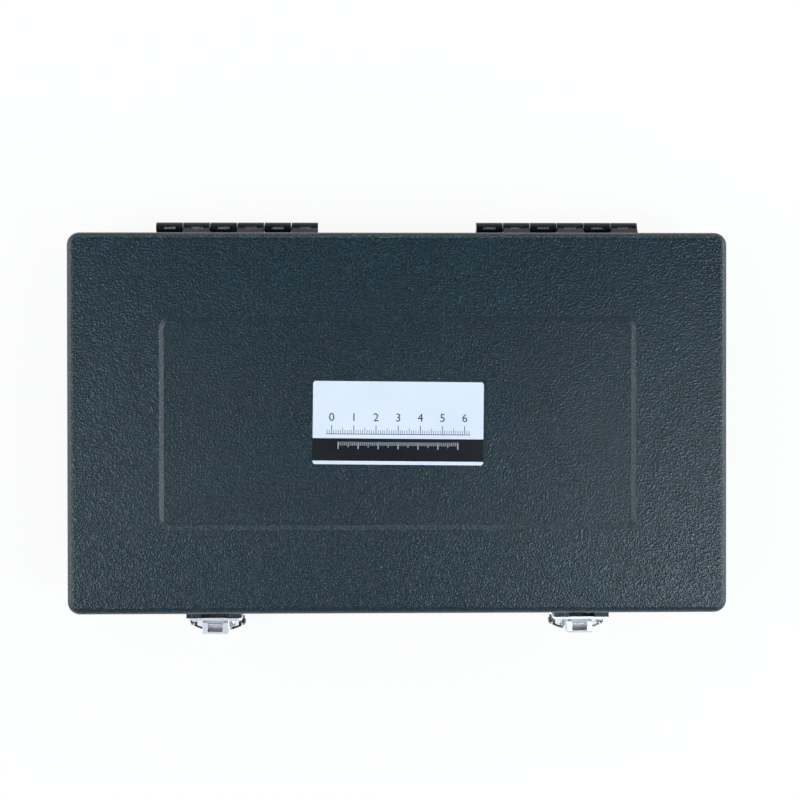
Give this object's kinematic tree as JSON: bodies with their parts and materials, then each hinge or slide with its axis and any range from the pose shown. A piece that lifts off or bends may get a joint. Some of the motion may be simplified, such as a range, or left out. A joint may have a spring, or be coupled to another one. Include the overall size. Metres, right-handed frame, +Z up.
{
  "type": "polar planimeter in carrying case",
  "caption": "Digital polar planimeter stowed in a moulded hinged carrying case with draw latches, a sunk lid panel and a plain label plate.",
  "frame": {"origin": "middle of the closed case's bounding box, on the surface the case rests on", "axes": "+Z up through the lid, +X to the right along the case's long side, +Y to the hinges, -Y to the latches"},
  "size_m": [0.3, 0.1914, 0.052],
  "materials": {
    "teal_plastic": "fine leather-grained moulding",
    "label_metal": "printed plate, satin",
    "foam": "soft foam pad",
    "tray_plastic": "fine matt moulding",
    "chrome": "bright plated steel",
    "steel": "drawn steel",
    "cast_alloy": "cast, fine blasted",
    "grey_plastic": "light grey moulding",
    "clear_plastic": "clear acrylic",
    "lcd": "liquid crystal panel",
    "board": "solder-masked board",
    "key_rubber": "moulded keys",
    "key_red": "moulded key",
    "black_plastic": "black moulding",
    "cell_steel": "nickel-plated can",
    "spring_metal": "gold-flashed spring strip",
    "arm_alloy": "satin anodised bar",
    "weight_brass": "turned and lacquered",
    "lens_glass": "polished lens"
  },
  "bodies": {
    "case": {"base_shell": "teal_plastic", "tray": "tray_plastic", "hinge_pin_left": "steel", "latch_plate_left": "chrome", "latch_rivets_left": "chrome", "lever_pivots_left": "chrome", "hinge_pin_right": "steel", "latch_plate_right": "chrome", "latch_rivets_right": "chrome", "lever_pivots_right": "chrome", "carriage_frame": "cast_alloy", "carriage_cover": "grey_plastic", "cover_screws": "steel", "display_window": "clear_plastic", "lcd_panel": "lcd", "circuit_board": "board", "coin_cells": "cell_steel", "battery_contact": "spring_metal", "encoder_sensor": "black_plastic", "axle_bearings": "weight_brass", "roller_axle": "steel", "pole_arm": "arm_alloy", "test_rule": "steel"},
    "lid": {"lid_shell": "teal_plastic", "label_plate": "label_metal", "lid_pad": "foam", "strike_plate_left": "chrome", "strike_rivets_left": "chrome", "strike_plate_right": "chrome", "strike_rivets_right": "chrome"},
    "lever_left": {"latch_lever_left": "chrome", "claw_pin_left": "steel"},
    "claw_left": {"latch_claw_left": "chrome"},
    "lever_right": {"latch_lever_right": "chrome", "claw_pin_right": "steel"},
    "claw_right": {"latch_claw_right": "chrome"},
    "key_power": {"key_power": "key_red"},
    "key_clear": {"key_clear": "key_rubber"},
    "key_hold": {"key_hold": "key_rubber"},
    "battery_cap": {"battery_cap": "black_plastic"},
    "wheel": {"measuring_wheel": "steel", "wheel_axle": "steel", "encoder_disc": "black_plastic"},
    "roller": {"support_roller": "steel"},
    "arm": {"tracer_arm": "arm_alloy", "tracer_ring": "arm_alloy", "tracer_lens": "lens_glass", "tracer_grip": "black_plastic"},
    "clamp": {"clamp_screw": "weight_brass"},
    "weight": {"pole_weight": "weight_brass", "pole_needle": "steel", "pole_pivot_screw": "weight_brass"}
  },
  "joints": [
    {"name": "lid_hinge", "type": "hinge", "parent": "case", "child": "lid", "pos_m": [0, 0.09305, 0.03], "axis": [-1, 0, 0], "range_deg": [0, 180]},
    {"name": "lever_left_turn", "type": "hinge", "parent": "case", "child": "lever_left", "pos_m": [-0.084, -0.09055, 0.022], "axis": [-1, 0, 0], "range_deg": [0, 100]},
    {"name": "claw_left_swing", "type": "hinge", "parent": "lever_left", "child": "claw_left", "pos_m": [-0.084, -0.08935, 0.016], "axis": [-1, 0, 0], "range_deg": [-115, 0]},
    {"name": "lever_right_turn", "type": "hinge", "parent": "case", "child": "lever_right", "pos_m": [0.084, -0.09055, 0.022], "axis": [-1, 0, 0], "range_deg": [0, 100]},
    {"name": "claw_right_swing", "type": "hinge", "parent": "lever_right", "child": "claw_right", "pos_m": [0.084, -0.08935, 0.016], "axis": [-1, 0, 0], "range_deg": [-115, 0]},
    {"name": "key_power_press", "type": "slide", "parent": "case", "child": "key_power", "axis": [0, 0, -1], "range_m": [0, 0.0008], "stiffness_N_per_m": 800, "springref_m": -0.0003},
    {"name": "key_clear_press", "type": "slide", "parent": "case", "child": "key_clear", "axis": [0, 0, -1], "range_m": [0, 0.0008], "stiffness_N_per_m": 800, "springref_m": -0.0003},
    {"name": "key_hold_press", "type": "slide", "parent": "case", "child": "key_hold", "axis": [0, 0, -1], "range_m": [0, 0.0008], "stiffness_N_per_m": 800, "springref_m": -0.0003},
    {"name": "battery_cap_turn", "type": "hinge", "parent": "case", "child": "battery_cap", "pos_m": [0.1, 0.04705, 0.0075], "axis": [0, 0, 1], "range_deg": [0, 60]},
    {"name": "wheel_spin", "type": "hinge", "parent": "case", "child": "wheel", "pos_m": [0.0565, 0.04955, 0.0149], "axis": [1, 0, 0], "continuous": true},
    {"name": "roller_spin", "type": "hinge", "parent": "case", "child": "roller", "pos_m": [0.104, 0.02815, 0.0094], "axis": [1, 0, 0], "continuous": true},
    {"name": "tracer_arm_slide", "type": "slide", "parent": "case", "child": "arm", "axis": [1, 0, 0], "range_m": [0, 0.02]},
    {"name": "clamp_screw_turn", "type": "hinge", "parent": "case", "child": "clamp", "pos_m": [0.07, 0.01605, 0.0175], "axis": [0, 1, 0], "range_deg": [0, 180]},
    {"name": "pole_weight_turn", "type": "hinge", "parent": "case", "child": "weight", "pos_m": [-0.098, -0.04195, 0.0065], "axis": [0, 0, 1], "continuous": true}
  ],
  "couplings": [
    {"joint": "claw_left_swing", "follows": "lever_left_turn", "ratio": -1.15},
    {"joint": "claw_right_swing", "follows": "lever_right_turn", "ratio": -1.15}
  ]
}
